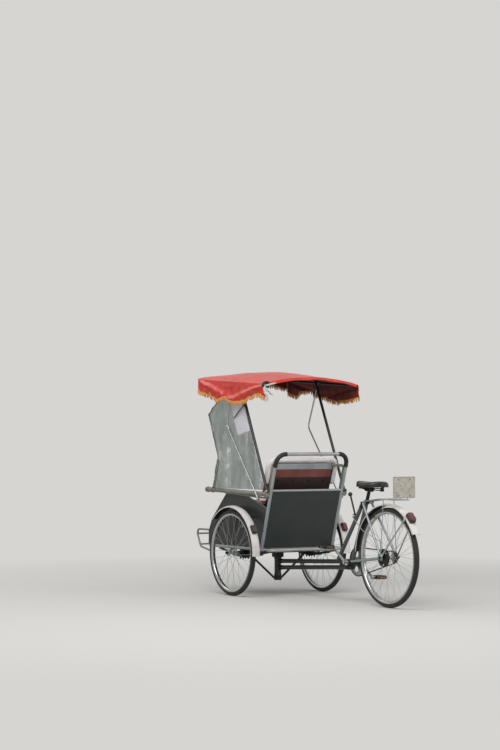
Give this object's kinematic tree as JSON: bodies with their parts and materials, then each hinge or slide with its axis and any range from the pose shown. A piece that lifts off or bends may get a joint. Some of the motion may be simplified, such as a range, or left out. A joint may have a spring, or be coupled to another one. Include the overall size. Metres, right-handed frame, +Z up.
{
  "type": "cycle rickshaw",
  "caption": "Three-wheeled pedal rickshaw with a canopied passenger carriage in front, steered as one body, and the rider's saddle and driven wheel behind.",
  "frame": {"origin": "on the ground under the centre of the bounding box", "axes": "+X forward, towards the carriage; +Y to the rider's left; +Z up"},
  "size_m": [2.4499, 0.872, 1.5971],
  "materials": {
    "black_enamel": "semi-gloss enamel, worn",
    "galvanised": "dull galvanised tube",
    "chrome": "polished, lightly rusted",
    "rubber": "matt",
    "white_paint": "gloss paint",
    "green_grey_paint": "satin paint",
    "red_vinyl": "soft gloss",
    "white_vinyl": "soft gloss",
    "black_vinyl": "satin",
    "red_canvas": "coated cloth",
    "clear_vinyl": "clear film",
    "paper": "matt",
    "plate_white": "dull white paint",
    "red_lens": "translucent lens",
    "plywood": "dark varnish"
  },
  "bodies": {
    "rear_frame": {"head_tube": "black_enamel", "bottom_bracket": "black_enamel", "seat_tube": "black_enamel", "twin_beams": "black_enamel", "brace_tube": "black_enamel", "rear_stays": "chrome", "rear_axle": "black_enamel", "chain": "black_enamel", "brake_cover": "black_enamel", "rear_mudguard": "white_paint", "rear_rack": "chrome", "guard_stays": "chrome", "number_plate": "plate_white", "rear_reflector": "red_lens", "seat_post": "chrome", "saddle": "black_vinyl", "brake_lever": "chrome"},
    "rear_wheel": {"rear_wheel": "chrome", "rear_tyre": "rubber", "rear_sprocket": "black_enamel"},
    "cranks": {"crankset": "black_enamel", "pedals": "rubber"},
    "carriage": {"front_axle": "black_enamel", "king_pin": "black_enamel", "axle_braces": "black_enamel", "body_frame": "galvanised", "leaf_springs": "black_enamel", "push_bar": "galvanised", "grips": "rubber", "luggage_floor": "plywood", "footboard": "plywood", "panel_edge": "galvanised", "rear_panel": "green_grey_paint", "side_edges": "galvanised", "side_panels": "green_grey_paint", "seat_box": "green_grey_paint", "backrest_board": "plywood", "backrest_roll": "white_vinyl", "backrest_cushion": "red_vinyl", "seat_cushion": "red_vinyl", "back_posts": "galvanised", "arm_rails": "galvanised", "canopy_ribs": "galvanised", "canopy_bows": "black_enamel", "canopy_struts": "chrome", "canopy_cloth": "red_canvas", "canopy_valance": "red_canvas", "side_curtain": "clear_vinyl", "notice_sheet": "paper", "front_mudguards": "white_paint", "guard_brackets": "galvanised", "front_reflectors": "red_lens", "front_bumper": "galvanised"},
    "front_wheel_left": {"front_left_wheel": "chrome", "front_left_tyre": "rubber"},
    "front_wheel_right": {"front_right_wheel": "chrome", "front_right_tyre": "rubber"}
  },
  "joints": [
    {"name": "steering", "type": "hinge", "parent": "rear_frame", "child": "carriage", "pos_m": [0.488, 0, 0.2], "axis": [0, 0, 1], "range_deg": [-40, 40]},
    {"name": "rear_wheel_spin", "type": "hinge", "parent": "rear_frame", "child": "rear_wheel", "pos_m": [-0.895, 0, 0.33], "axis": [0, 1, 0], "continuous": true},
    {"name": "crank_spin", "type": "hinge", "parent": "rear_frame", "child": "cranks", "pos_m": [-0.47, 0, 0.279], "axis": [0, 1, 0], "continuous": true},
    {"name": "front_wheel_left_spin", "type": "hinge", "parent": "carriage", "child": "front_wheel_left", "pos_m": [0.488, 0.38, 0.305], "axis": [0, 1, 0], "continuous": true},
    {"name": "front_wheel_right_spin", "type": "hinge", "parent": "carriage", "child": "front_wheel_right", "pos_m": [0.488, -0.38, 0.305], "axis": [0, 1, 0], "continuous": true}
  ]
}
